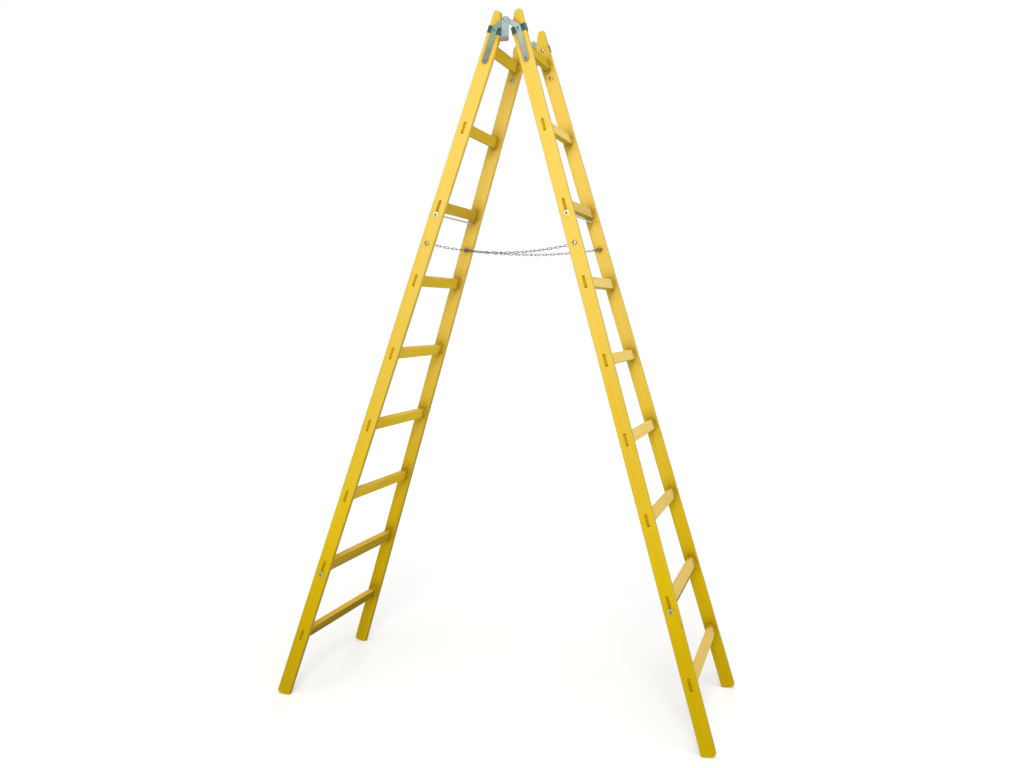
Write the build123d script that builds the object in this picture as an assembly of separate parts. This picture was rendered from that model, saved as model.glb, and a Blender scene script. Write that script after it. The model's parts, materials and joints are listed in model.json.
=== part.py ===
"""Double-sided wooden stepladder: two tapered ladders, steel top hinges, tie rods and spread chains.

The origin is on the floor at the centre of the four feet, +Z is up, X runs across the spread and Y along
the rungs. Each half is drawn upright in a closed frame, whose origin is on the hinge axis, and is then leaned
out about that axis. The right half is the left half turned by half a turn about Z. Lengths are millimetres.
"""
import os
from math import atan2, cos, degrees, hypot, radians, sin, sqrt, tan

from build123d import *

# Spread and stiles
LEAN = 17.1                  # degrees from upright to each open half
STILE_LENGTH = 2690.0
STILE_WIDTH = 52.0           # along X when closed
STILE_THICKNESS = 22.0
FOOT_WIDTH = 684.0           # over both stiles at the foot end
TIP_WIDTH = 321.0            # over both stiles at the tip
CLOSED_GAP = 16.0            # between the two halves' stiles when closed
HINGE_BELOW_TIP = 26.0
STILE_ARRIS = 3.5
TIP_TAPER_LENGTH = 68.0
TIP_TOP_WIDTH = 22.0
TIP_TAPER_CROWN = 1.5
TIP_CORNER = 7.0
TIP_EASE = 0.5               # by which the outer corner's rounding starts outside the stile
FOOT_FLAT = 4.0              # height worn off the corner that stands on the floor
FOOT_CHAMFER = 6.0

# Rungs
LOWEST_RUNG = 244.0          # its centre above the foot end
TOP_RUNG_BELOW_BOLT = 64.0   # its centre below the brackets' upper bolts
TOP_RUNGS = 2                # rungs above the evenly spaced ones
TOP_PITCH = 298.0
EVEN_RUNGS = 7
RUNG_HEIGHT = 40.0
RUNG_DEPTH = 22.0
RUNG_ARRIS = 3.0
TENON_THICKNESS = 11.0
TENON_HEIGHT = 35.0
MORTISE_POCKET = 12.0        # depth of the mortise's round ends, open above and below the tenon
WOOD_FIT = 0.1

# Tie rods
TIE_DROP = 33.0              # below the centre of the rung above
TIE_RADIUS = 3.0
TIE_WASHER_RADIUS = 12.0
TIE_WASHER_THICKNESS = 2.0
NUT_FLATS = 10.0
NUT_HEIGHT = 5.0
THREAD_SHOW = 2.0            # of a threaded end past its nut
HOLE_FIT = 0.1
SPOT_FIT = 0.5               # of a spot face round what sits in it
SPOT_DEPTH = 0.4             # of a spot face where it is shallowest

# Top hinge
UPPER_BOLT_BELOW_HINGE = 44.0
BRACKET_BOLT_PITCH = 113.0
BRACKET_THICKNESS = 4.0
STRAP_WIDTH = 19.0
ARM_STRAIGHT = 10.0          # of the arm above the upper bolt, up to the corner that its bend rounds
ARM_BEND = 16.0
EYE_RADIUS = 10.0
BAND_HEIGHT = 27.0
BAND_THICKNESS = 2.5
BAND_LEG = 19.0
BAND_BEND = 3.5
BRACKET_BOLT_RADIUS = 3.0
BRACKET_HEAD_RADIUS = 8.0
BRACKET_HEAD_HEIGHT = 4.0
BRACKET_NUT_HEIGHT = 4.0
BRACKET_THREAD_SHOW = 0.8
PIN_RADIUS = 5.0
PIN_FIT = 0.05
PIN_TAIL_RADIUS = 8.0
PIN_TAIL_HEIGHT = 3.0
PIN_HEAD_RADIUS = 9.5
PIN_HEAD_HEIGHT = 6.0
SIDE_GAP = 0.3               # between pieces that turn past each other
BUSH_RADIUS = 9.0
BUSH_CLEARANCE = 0.8         # of the hook over the bracket nuts

# Hook on the hinge pin
HOOK_WIDTH = 26.0
HOOK_THICKNESS = 3.0
HOOK_ABOVE_PIN = 10.0
HOOK_BELOW_PIN = 79.0
HOOK_INNER_RADIUS = 7.0
HOOK_LIP = 6.0
HOOK_CORNER = 9.0
HOOK_LIP_CORNER = 4.0

# Spread chains
CHAIN_RUNG = 5               # rung below the chain bolts, counted from 0 at the foot
CHAIN_BOLT_RADIUS = 3.0
CHAIN_HEAD_RADIUS = 9.0
CHAIN_HEAD_HEIGHT = 5.0
CHAIN_CLAMP_HEIGHT = 6.0     # nut on the stile's inner face
CHAIN_NUT_HEIGHT = 5.0       # nut that keeps the end ring on
FRONT_CHAIN_SAG = 33.0
BACK_CHAIN_SAG = 20.0
CHAIN_SIDE_STEP = 6.5        # sideways, by which the two halves of a chain pass each other
LINKS_PER_HALF = 18
LINK_WIRE = 2.4
LINK_GAP = 4.0               # inside width of a link
LINK_PLAY = 0.3
LINK_EDGE = 0.7
RING_PLAY = 0.6              # of the end ring round its bolt

# Worked-out places
SPLAY = degrees(atan2((FOOT_WIDTH - TIP_WIDTH) / 2, STILE_LENGTH))
STILE_SPAN = STILE_THICKNESS / cos(radians(SPLAY))
STILE_OFFSET = (STILE_WIDTH + CLOSED_GAP) / 2
FOOT_V = HINGE_BELOW_TIP - STILE_LENGTH
TIP_V = HINGE_BELOW_TIP
INNER_U = CLOSED_GAP / 2
HINGE_HEIGHT = -FOOT_V * cos(radians(LEAN)) - INNER_U * sin(radians(LEAN)) - FOOT_FLAT
RUNG_COUNT = EVEN_RUNGS + TOP_RUNGS
NUT_CORNER = NUT_FLATS / sqrt(3)
UPPER_BOLT_V = -UPPER_BOLT_BELOW_HINGE
LOWER_BOLT_V = UPPER_BOLT_V - BRACKET_BOLT_PITCH
TOP_RUNG_V = UPPER_BOLT_V - TOP_RUNG_BELOW_BOLT
LOWEST_RUNG_V = FOOT_V + LOWEST_RUNG
RUNG_PITCH = (TOP_RUNG_V - TOP_RUNGS * TOP_PITCH - LOWEST_RUNG_V) / (EVEN_RUNGS - 1)
BEYOND = 60.0                # how far cutting shapes reach past what they cut


def rung_v(index):
    """Height of a rung's centre, counted from 0 at the foot."""
    even = min(index, EVEN_RUNGS - 1)
    return LOWEST_RUNG_V + even * RUNG_PITCH + (index - even) * TOP_PITCH


def outer_y(v):
    """Half of the width over the two stiles at a height."""
    return FOOT_WIDTH / 2 - (v - FOOT_V) * tan(radians(SPLAY))


def inner_y(v):
    """Half of the clear width between the two stiles at a height."""
    return outer_y(v) - STILE_SPAN


TIE_RUNGS = (1, EVEN_RUNGS - 1)
CHAIN_V = (rung_v(CHAIN_RUNG) + rung_v(CHAIN_RUNG + 1)) / 2

# Layers of the hinge, as distances outward from the face that the brackets lie on
ARM_LAYER = BRACKET_THICKNESS + SIDE_GAP
HINGE_FACE = outer_y(UPPER_BOLT_V)
BUSH_START = ARM_LAYER + BRACKET_THICKNESS + SIDE_GAP
NUT_REACH = ARM_LAYER + BRACKET_THICKNESS + BRACKET_NUT_HEIGHT + BRACKET_THREAD_SHOW
HOOK_START = NUT_REACH + BUSH_CLEARANCE
BUSH_LENGTH = HOOK_START - SIDE_GAP - BUSH_START
PIN_HEAD_START = HOOK_START + HOOK_THICKNESS + SIDE_GAP


def across(u, v, y_from, y_to, outline):
    """A prism along Y, from a flat outline centred on (u, v)."""
    start = Plane(origin=(u, y_from, v), x_dir=(1, 0, 0), z_dir=(0, 1 if y_to > y_from else -1, 0))
    return extrude(start * outline, abs(y_to - y_from))


def dome(radius, height):
    """A shallow domed head that stands on the XY plane."""
    ball = (radius ** 2 + height ** 2) / (2 * height)
    return Pos(0, 0, height - ball) * Sphere(ball) & Pos(0, 0, height / 2) * Cylinder(radius, height)


def facing(u, y, v, direction):
    """A place on (u, y, v) whose own Z points along +Y or -Y."""
    return Plane(origin=(u, y, v), x_dir=(1, 0, 0), z_dir=(0, direction, 0)).location


def front_face():
    """The outer face of the front stile: its X is across the stile, its Y up along it, its Z outward."""
    lean = radians(SPLAY)
    return Plane(origin=(-STILE_OFFSET, -outer_y(0), 0), x_dir=(1, 0, 0), z_dir=(0, -cos(lean), sin(lean)))


def along(v):
    """The distance along a stile's face that belongs to a height."""
    return v / cos(radians(SPLAY))


def to_back(shape):
    """The front stile's fitting, mirrored for the back stile."""
    return mirror(shape, Plane.XZ)


# Wooden pieces
def stile():
    """The front stile of the left half, with its mortises, holes, band housing, tapered tip and foot."""
    lean = radians(SPLAY)
    low = FOOT_V - BEYOND
    start = (-STILE_OFFSET, STILE_SPAN / 2 - outer_y(low), low)
    section = Plane(origin=start, x_dir=(1, 0, 0), z_dir=(0, sin(lean), cos(lean)))
    outline = RectangleRounded(STILE_WIDTH, STILE_THICKNESS, STILE_ARRIS)
    bar = extrude(section * outline, STILE_LENGTH + 2 * BEYOND)
    return bar - end_cuts() - mortises() - stile_holes() - band_housing()


def tip_outline():
    """A stile's tip, seen from the front: cut back in a shallow arc on its inner side, with round corners."""
    outer = -STILE_OFFSET - STILE_WIDTH / 2
    start = (-INNER_U, TIP_V - TIP_TAPER_LENGTH)
    end = (outer + TIP_TOP_WIDTH, TIP_V)
    chord = hypot(end[0] - start[0], end[1] - start[1])
    middle = (
        (start[0] + end[0]) / 2 + TIP_TAPER_CROWN * TIP_TAPER_LENGTH / chord,
        (start[1] + end[1]) / 2 + TIP_TAPER_CROWN * (start[0] - end[0]) / chord,
    )
    taper = ThreePointArc(start, middle, end)
    rest = Polyline(end, (outer - TIP_EASE, TIP_V), (outer - TIP_EASE, start[1]), start)
    outline = make_face([taper, rest])
    return fillet(outline.vertices().group_by(Axis.Y)[-1], TIP_CORNER)


def end_cuts():
    """What is cut off a stile at its tip and at its foot."""
    outer = -STILE_OFFSET - STILE_WIDTH / 2
    left, right = outer - BEYOND, INNER_U
    top, bottom = TIP_V + 2 * BEYOND, FOOT_V - 2 * BEYOND
    shoulder = TIP_V - TIP_TAPER_LENGTH
    above = Polygon((left, shoulder), (right, shoulder), (right, top), (left, top), align=None)
    tip = extrude(Plane.XZ * (above - tip_outline()), FOOT_WIDTH, both=True)
    below = Polygon((left, FOOT_V), (right, FOOT_V), (right, bottom), (left, bottom), align=None)
    chamfered = (outer, FOOT_V), (outer + FOOT_CHAMFER, FOOT_V), (outer, FOOT_V + FOOT_CHAMFER)
    corner = Polygon(*chamfered, align=None)
    foot = extrude(Plane.XZ * (below + corner), FOOT_WIDTH, both=True)
    floor = Pos(0, 0, -HINGE_HEIGHT - BEYOND) * Box(2 * STILE_LENGTH, 2 * FOOT_WIDTH, 2 * BEYOND)
    return [tip, foot, Rot(0, -LEAN, 0) * floor]


def mortises():
    """Slots for the tenons, right through the front stile, with blind round ends at its outer face."""
    width = TENON_THICKNESS + 2 * WOOD_FIT
    through = Rectangle(width, TENON_HEIGHT + 2 * WOOD_FIT)
    slot = SlotCenterToCenter(TENON_HEIGHT, width, rotation=90)
    cuts = []
    for i in range(RUNG_COUNT):
        v = rung_v(i)
        cuts.append(across(-STILE_OFFSET, v, -FOOT_WIDTH, 0, through))
        cuts.append(across(-STILE_OFFSET, v, -FOOT_WIDTH, MORTISE_POCKET - outer_y(v), slot))
    return cuts


def seat_y(v, radius):
    """How far out a flat round seat lies that is spot-faced square to Y into the splayed stile."""
    return outer_y(v + radius + SPOT_FIT) - SPOT_DEPTH


def stile_holes():
    """Holes and spot faces for the tie rods and the chain bolt, and holes for the bracket's bolts."""
    cuts = []
    for index in TIE_RUNGS:
        v = rung_v(index) - TIE_DROP
        cuts.append(across(-STILE_OFFSET, v, -FOOT_WIDTH, 0, Circle(TIE_RADIUS + HOLE_FIT)))
        seat = seat_y(v, TIE_WASHER_RADIUS)
        cuts.append(across(-STILE_OFFSET, v, -seat, -FOOT_WIDTH, Circle(TIE_WASHER_RADIUS + SPOT_FIT)))
    cuts.append(across(-STILE_OFFSET, CHAIN_V, -FOOT_WIDTH, 0, Circle(CHAIN_BOLT_RADIUS + HOLE_FIT)))
    seat = seat_y(CHAIN_V, CHAIN_HEAD_RADIUS)
    cuts.append(across(-STILE_OFFSET, CHAIN_V, -seat, -FOOT_WIDTH, Circle(CHAIN_HEAD_RADIUS + SPOT_FIT)))
    cuts.append(across(-STILE_OFFSET, CHAIN_V, -clamp_y(), 0, Circle(NUT_CORNER + SPOT_FIT)))
    hole = Circle(BRACKET_BOLT_RADIUS + HOLE_FIT)
    for v in (UPPER_BOLT_V, LOWER_BOLT_V):
        cuts.append(extrude(front_face() * Pos(0, along(v)) * hole, -2 * STILE_THICKNESS))
    return cuts


def band_housing():
    """A shallow housing that lets the band lie flush under the strap."""
    outline = Rectangle(STILE_WIDTH + 2 * BAND_THICKNESS, BAND_HEIGHT + 2 * WOOD_FIT)
    return extrude(front_face() * Pos(0, along(UPPER_BOLT_V)) * outline, -BAND_THICKNESS)


def rung(index):
    """A rung with rounded arrises, shoulders along the stiles' faces and through tenons."""
    v = rung_v(index)

    def bar(height, reach, depth):
        low, high = v - height / 2, v + height / 2
        ends = (-reach(low), low), (reach(low), low), (reach(high), high), (-reach(high), high)
        side = Polygon(*ends, align=None)
        return Pos(-STILE_OFFSET, 0, 0) * extrude(Plane.YZ * side, depth / 2, both=True)

    body = bar(RUNG_HEIGHT, inner_y, RUNG_DEPTH)
    body = fillet(body.edges().filter_by(Axis.Y), RUNG_ARRIS)
    return body + bar(TENON_HEIGHT, outer_y, TENON_THICKNESS)


# Tie rods
def tie_rod(index):
    """A steel rod right through both stiles under a rung."""
    v = rung_v(index) - TIE_DROP
    reach = seat_y(v, TIE_WASHER_RADIUS) + TIE_WASHER_THICKNESS + NUT_HEIGHT + THREAD_SHOW
    return across(-STILE_OFFSET, v, -reach, reach, Circle(TIE_RADIUS))


def nut_outline(radius):
    """A hexagon nut's outline with its hole."""
    return RegularPolygon(NUT_FLATS / 2, 6, major_radius=False) - Circle(radius + HOLE_FIT)


def tie_fasteners():
    """The washers and the nuts at the four ends of a half's tie rods."""
    washers, nuts = [], []
    ring = Circle(TIE_WASHER_RADIUS) - Circle(TIE_RADIUS + HOLE_FIT)
    for index in TIE_RUNGS:
        v = rung_v(index) - TIE_DROP
        seat = seat_y(v, TIE_WASHER_RADIUS)
        under_nut = seat + TIE_WASHER_THICKNESS
        washer = across(-STILE_OFFSET, v, -seat, -under_nut, ring)
        nut = across(-STILE_OFFSET, v, -under_nut, -under_nut - NUT_HEIGHT, nut_outline(TIE_RADIUS))
        washers += [washer, to_back(washer)]
        nuts += [nut, to_back(nut)]
    return washers, nuts


# Top hinge
def arm_outline(width):
    """The bracket's arm, seen from the front: up from the upper bolt, then bent over towards the pin."""
    foot = (-STILE_OFFSET, UPPER_BOLT_V)
    corner = (-STILE_OFFSET, UPPER_BOLT_V + ARM_STRAIGHT)
    path = FilletPolyline(foot, corner, (0, 0), radius=ARM_BEND)
    return trace(path, width) + Circle(EYE_RADIUS) + Pos(*foot) * Circle(width / 2)


def nut_seats(layer):
    """A bracket's bolts: their heights, and how far their nuts' seats lie from the stile's face."""
    return (UPPER_BOLT_V, BRACKET_THICKNESS + layer * ARM_LAYER), (LOWER_BOLT_V, BRACKET_THICKNESS)


def bracket(layer):
    """A flat steel bracket: a strap on the stile's face, and an arm and an eye in the given layer."""
    face = front_face()
    top = along(UPPER_BOLT_V) + STRAP_WIDTH / 2
    low = along(LOWER_BOLT_V)
    strap = Pos(0, (top + low) / 2) * Rectangle(STRAP_WIDTH, top - low)
    strap += Pos(0, low) * Circle(STRAP_WIDTH / 2)
    plate = extrude(face * strap, BRACKET_THICKNESS)
    inner = HINGE_FACE + layer * ARM_LAYER
    arm = across(0, 0, -inner, -inner - BRACKET_THICKNESS, arm_outline(STRAP_WIDTH))
    if layer:
        lap = Pos(-STILE_OFFSET, UPPER_BOLT_V) * Circle(STRAP_WIDTH / 2)
        arm += across(0, 0, -HINGE_FACE - BRACKET_THICKNESS / 2, -inner, lap)
    else:
        arm -= extrude(face * Rectangle(4 * STILE_WIDTH, STILE_LENGTH), -STILE_THICKNESS)
    body = plate + arm
    hole = Circle(BRACKET_BOLT_RADIUS + HOLE_FIT)
    for v, seat in nut_seats(layer):
        body -= extrude(face * Pos(0, along(v)) * hole, 4 * BRACKET_THICKNESS, both=True)
        body -= extrude(face * Pos(0, along(v), seat) * Circle(NUT_CORNER + SPOT_FIT), 4 * BRACKET_THICKNESS)
    return body - across(0, 0, -HINGE_FACE + BEYOND, -HINGE_FACE - BEYOND, Circle(PIN_RADIUS + PIN_FIT))


def band():
    """A U-shaped band across the stile's outer face, with legs on its two edges."""
    outer = STILE_WIDTH + 2 * (BAND_THICKNESS + WOOD_FIT)
    shell = Pos(0, -BAND_LEG / 2) * Rectangle(outer, BAND_LEG)
    shell = fillet(shell.vertices().group_by(Axis.Y)[-1], BAND_BEND)
    opening = Rectangle(STILE_WIDTH + 2 * WOOD_FIT, BAND_LEG)
    profile = shell - Pos(0, -BAND_LEG / 2 - BAND_THICKNESS) * opening
    up = Plane(origin=(0, 0, 0), x_dir=(1, 0, 0), z_dir=(0, -1, 0))
    strip = extrude(up * profile, BAND_HEIGHT / 2, both=True)
    hole = Pos(0, 0, -BAND_LEG / 2) * Cylinder(BRACKET_BOLT_RADIUS + HOLE_FIT, BAND_LEG)
    return front_face().location * Pos(0, along(UPPER_BOLT_V), 0) * (strip - hole)


def bracket_fasteners(layer):
    """A bracket's two bolts, domed heads on the stile's inner face, and their nuts."""
    bolts, nuts = [], []
    face = front_face().location
    for v, seat in nut_seats(layer):
        length = STILE_THICKNESS + seat + BRACKET_NUT_HEIGHT + BRACKET_THREAD_SHOW
        shank = Pos(0, 0, length / 2 - STILE_THICKNESS) * Cylinder(BRACKET_BOLT_RADIUS, length)
        head = Pos(0, 0, -STILE_THICKNESS) * Rot(180, 0, 0) * dome(BRACKET_HEAD_RADIUS, BRACKET_HEAD_HEIGHT)
        place = face * Pos(0, along(v), 0)
        bolts.append(place * (shank + head))
        nut = extrude(nut_outline(BRACKET_BOLT_RADIUS), BRACKET_NUT_HEIGHT)
        nuts.append(place * Pos(0, 0, seat) * nut)
    return bolts, nuts


def hinge_pin():
    """The front pivot pin: a flat tail behind the arms, a shank and a domed head."""
    tail = across(0, 0, -HINGE_FACE + PIN_TAIL_HEIGHT, -HINGE_FACE, Circle(PIN_TAIL_RADIUS))
    shank = across(0, 0, -HINGE_FACE, -HINGE_FACE - PIN_HEAD_START, Circle(PIN_RADIUS))
    head = facing(0, -HINGE_FACE - PIN_HEAD_START, 0, -1) * dome(PIN_HEAD_RADIUS, PIN_HEAD_HEIGHT)
    return tail + shank + head


def hinge_bush():
    """The bush that holds the hook clear of the brackets' nuts."""
    ring = Circle(BUSH_RADIUS) - Circle(PIN_RADIUS + PIN_FIT)
    start = -HINGE_FACE - BUSH_START
    return across(0, 0, start, start - BUSH_LENGTH, ring)


def hook():
    """A flat hook on the front pin: a straight plate whose lower end is curled forward, with a short lip."""
    back = -HINGE_FACE - HOOK_START
    front = back - HOOK_THICKNESS
    outer = HOOK_INNER_RADIUS + HOOK_THICKNESS
    curl_y = front - HOOK_INNER_RADIUS
    curl_z = outer - HOOK_BELOW_PIN
    ring = Circle(outer) - Circle(HOOK_INNER_RADIUS)
    lower = Pos(0, -outer / 2) * Rectangle(2 * outer, outer)
    curl = Pos(curl_y, curl_z) * (ring & lower)
    plate_length = HOOK_ABOVE_PIN - curl_z
    plate = Pos((back + front) / 2, curl_z + plate_length / 2) * Rectangle(HOOK_THICKNESS, plate_length)
    lip_y = curl_y - HOOK_INNER_RADIUS - HOOK_THICKNESS / 2
    lip = Pos(lip_y, curl_z + HOOK_LIP / 2) * Rectangle(HOOK_THICKNESS, HOOK_LIP)
    body = extrude(Plane.YZ * (curl + plate + lip), HOOK_WIDTH / 2, both=True)
    corners = body.edges().filter_by(Axis.Y)
    body = fillet(corners.group_by(Axis.Z)[-1], HOOK_CORNER)
    lip_top = curl_z + HOOK_LIP
    edges = body.edges().filter_by(Axis.Y)
    lip_edges = edges.filter_by(lambda edge: abs(edge.center().Z - lip_top) < WOOD_FIT)
    body = fillet(lip_edges, HOOK_LIP_CORNER)
    return body - across(0, 0, back, front, Circle(PIN_RADIUS + PIN_FIT))


# Spread chains
def clamp_y():
    """How far out a chain bolt's clamping nut sits, in a spot face square to Y in the stile's inner face."""
    return inner_y(CHAIN_V - NUT_CORNER - SPOT_FIT) + SPOT_DEPTH


def ring_y():
    """How far the middle of a chain's end ring lies from the ladder's centre plane."""
    return clamp_y() - CHAIN_CLAMP_HEIGHT - SIDE_GAP - LINK_WIRE / 2


def chain_fasteners():
    """The front chain bolt, its domed head outside, with its clamping nut and the nut that keeps the ring."""
    seat = seat_y(CHAIN_V, CHAIN_HEAD_RADIUS)
    nut_start = ring_y() - LINK_WIRE / 2 - SIDE_GAP
    end = nut_start - CHAIN_NUT_HEIGHT - THREAD_SHOW
    shank = across(-STILE_OFFSET, CHAIN_V, -seat, -end, Circle(CHAIN_BOLT_RADIUS))
    bolt = shank + facing(-STILE_OFFSET, -seat, CHAIN_V, -1) * dome(CHAIN_HEAD_RADIUS, CHAIN_HEAD_HEIGHT)
    hexagon = nut_outline(CHAIN_BOLT_RADIUS)
    nut = across(-STILE_OFFSET, CHAIN_V, -nut_start, CHAIN_NUT_HEIGHT - nut_start, hexagon)
    clamp = across(-STILE_OFFSET, CHAIN_V, -clamp_y(), CHAIN_CLAMP_HEIGHT - clamp_y(), hexagon)
    return bolt, [clamp, nut]


def open_place(u, v):
    """X and Z, with the ladder open, of a point of the closed left half."""
    lean = radians(LEAN)
    return u * cos(lean) + v * sin(lean), HINGE_HEIGHT - u * sin(lean) + v * cos(lean)


def chain_knots(side, sag):
    """The points where the links of a left half-chain meet, from its bolt to the ladder's middle plane."""
    bolt_x, bolt_z = open_place(-STILE_OFFSET, CHAIN_V)
    start = 1 + (CHAIN_BOLT_RADIUS + LINK_PLAY / 2) / -bolt_x
    knots = []
    for i in range(LINKS_PER_HALF + 1):
        share = start * (1 - i / LINKS_PER_HALF)
        y = side * ring_y() - CHAIN_SIDE_STEP * (1 - share)
        knots.append(Vector(bolt_x * share, y, bolt_z - sag * (1 - share ** 2)))
    return knots


def link(length, gap):
    """A chain link in the XY plane, along X, of eight straight lengths of wire with eased edges."""
    def ring(grow):
        x, y = length / 2 + grow, gap / 2 + grow
        cut = y * (2 - sqrt(2))
        return Polygon((x, y - cut), (x - cut, y), (cut - x, y), (-x, y - cut), (-x, cut - y), (cut - x, -y),
                       (x - cut, -y), (x, cut - y), align=None)
    body = extrude(ring(LINK_WIRE) - ring(0), LINK_WIRE / 2, both=True)
    flat_edges = body.edges().filter_by(lambda e: abs(abs(e.center().Z) - LINK_WIRE / 2) < WOOD_FIT)
    return chamfer(flat_edges, LINK_EDGE)


def half_chain(side, sag):
    """The links of a left half-chain where they hang with the ladder open, upright and flat in turn."""
    knots = chain_knots(side, sag)
    links = []
    for i in range(LINKS_PER_HALF):
        run = knots[i + 1] - knots[i]
        gap = LINK_GAP if i else 2 * (CHAIN_BOLT_RADIUS + RING_PLAY)
        up = Vector(0, -1, 0) if i % 2 == 0 else Vector(0, 0, 1)
        up = up - run * (up.dot(run) / run.dot(run))
        place = Plane(origin=(knots[i] + knots[i + 1]) * 0.5, x_dir=run, z_dir=up)
        links.append(place.location * link(run.length + LINK_PLAY, gap))
    return links


def closed_left_half():
    """Every piece of the left half in the closed frame, by its name with SIDE for the side."""
    front_stile, front_band = stile(), band()
    pieces = {"stile_SIDE_front": front_stile, "stile_SIDE_back": to_back(front_stile)}
    for i in range(RUNG_COUNT):
        pieces[f"rung_SIDE_{RUNG_COUNT - i}"] = rung(i)
    for name, index in zip(("lower", "upper"), TIE_RUNGS):
        pieces[f"tie_rod_SIDE_{name}"] = tie_rod(index)
    pieces["tie_washers_SIDE"], pieces["tie_nuts_SIDE"] = tie_fasteners()
    pieces["hinge_bracket_SIDE_front"] = bracket(0)
    pieces["hinge_bracket_SIDE_back"] = to_back(bracket(1))
    pieces["hinge_band_SIDE_front"] = front_band
    pieces["hinge_band_SIDE_back"] = to_back(front_band)
    front_bolts, front_nuts = bracket_fasteners(0)
    back_bolts, back_nuts = bracket_fasteners(1)
    pieces["bracket_bolts_SIDE"] = front_bolts + [to_back(bolt) for bolt in back_bolts]
    pieces["bracket_nuts_SIDE"] = front_nuts + [to_back(nut) for nut in back_nuts]
    bolt, nuts = chain_fasteners()
    pieces["chain_bolts_SIDE"] = [bolt, to_back(bolt)]
    pieces["chain_nuts_SIDE"] = nuts + [to_back(nut) for nut in nuts]
    return pieces


def as_list(shape):
    return shape if isinstance(shape, list) else [shape]


def sided(name, side):
    """A piece's node name for one side: turning a half round swaps its front and its back."""
    if side == "right" and name.endswith("_front"):
        name = name.removesuffix("_front") + "_back"
    elif side == "right" and name.endswith("_back"):
        name = name.removesuffix("_back") + "_front"
    return name.replace("SIDE", side)


def model():
    """Every node's solids in the open ladder's frame."""
    half_turn = Rot(0, 0, 180)
    lift = Pos(0, 0, HINGE_HEIGHT)
    nodes = {}
    for name, shape in closed_left_half().items():
        opened = [lift * Rot(0, LEAN, 0) * solid for solid in as_list(shape)]
        nodes[sided(name, "left")] = opened
        nodes[sided(name, "right")] = [half_turn * solid for solid in opened]
    split = LINKS_PER_HALF // 2
    for end, side, sag in (("front", -1, FRONT_CHAIN_SAG), ("back", 1, BACK_CHAIN_SAG)):
        left_links = half_chain(side, sag)
        right_links = [half_turn * solid for solid in half_chain(-side, sag)]
        for part, chosen in (("upper", slice(split)), ("lower", slice(split, None))):
            nodes[f"chain_{end}_left_{part}"] = left_links[chosen]
            nodes[f"chain_{end}_right_{part}"] = right_links[chosen]
    pin, bush, front_hook = (lift * piece for piece in (hinge_pin(), hinge_bush(), hook()))
    nodes["hinge_pin_front"], nodes["hinge_pin_back"] = [pin], [half_turn * pin]
    nodes["hinge_bushes"] = [bush, half_turn * bush]
    nodes["hook_front"], nodes["hook_back"] = [front_hook], [half_turn * front_hook]
    return nodes


def main():
    os.makedirs("parts", exist_ok=True)
    for name, solids in model().items():
        shape = solids[0] if len(solids) == 1 else Compound(children=solids)
        export_step(shape, f"parts/{name}.step")


if __name__ == "__main__":
    main()
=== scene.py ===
"""Looks of the double-sided wooden stepladder: varnished wood, zinc-plated fittings and steel link chains.

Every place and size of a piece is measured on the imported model. Lengths are metres.
"""
import json
from math import cos, exp, pi, radians, sin, tan
from typing import NamedTuple

import bmesh
import bpy
import numpy as np
from mathutils import Euler, Matrix, Vector

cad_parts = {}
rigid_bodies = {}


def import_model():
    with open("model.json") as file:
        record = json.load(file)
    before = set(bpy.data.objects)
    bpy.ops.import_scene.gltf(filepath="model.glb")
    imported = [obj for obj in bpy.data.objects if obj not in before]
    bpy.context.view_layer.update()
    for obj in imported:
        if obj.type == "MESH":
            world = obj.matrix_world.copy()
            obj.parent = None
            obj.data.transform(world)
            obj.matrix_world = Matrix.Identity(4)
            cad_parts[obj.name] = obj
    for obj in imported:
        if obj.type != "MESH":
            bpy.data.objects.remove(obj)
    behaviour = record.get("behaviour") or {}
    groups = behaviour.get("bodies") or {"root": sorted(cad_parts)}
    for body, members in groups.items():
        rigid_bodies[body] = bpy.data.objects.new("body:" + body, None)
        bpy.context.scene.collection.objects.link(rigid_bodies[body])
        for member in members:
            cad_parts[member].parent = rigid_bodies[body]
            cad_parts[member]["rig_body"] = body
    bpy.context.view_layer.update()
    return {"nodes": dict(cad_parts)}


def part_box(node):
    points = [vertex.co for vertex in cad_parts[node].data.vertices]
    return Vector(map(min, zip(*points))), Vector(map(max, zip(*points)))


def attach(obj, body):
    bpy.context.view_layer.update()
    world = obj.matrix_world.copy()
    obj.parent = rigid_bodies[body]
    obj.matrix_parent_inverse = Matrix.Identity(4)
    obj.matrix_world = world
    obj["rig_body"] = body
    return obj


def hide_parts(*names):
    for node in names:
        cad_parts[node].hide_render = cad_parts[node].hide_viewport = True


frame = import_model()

SIDES = ("left", "right")
WHITE = (1.0, 1.0, 1.0, 1.0)

# Camera at the photograph's viewing angle
CAMERA_PLACE = (1.1539, -3.6358, 1.5066)
CAMERA_YAW = -17.778         # degrees, from +Y towards +X
CAMERA_PITCH = -4.380
CAMERA_ROLL = 0.881
CAMERA_LENS = 34.816         # millimetres, on a 36 mm wide sensor
SENSOR_WIDTH = 36.0
CAMERA_FAR = 160.0

# How the stiles run, in degrees: their grain follows them
LEAN = 17.1
SPLAY = 3.86

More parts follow.
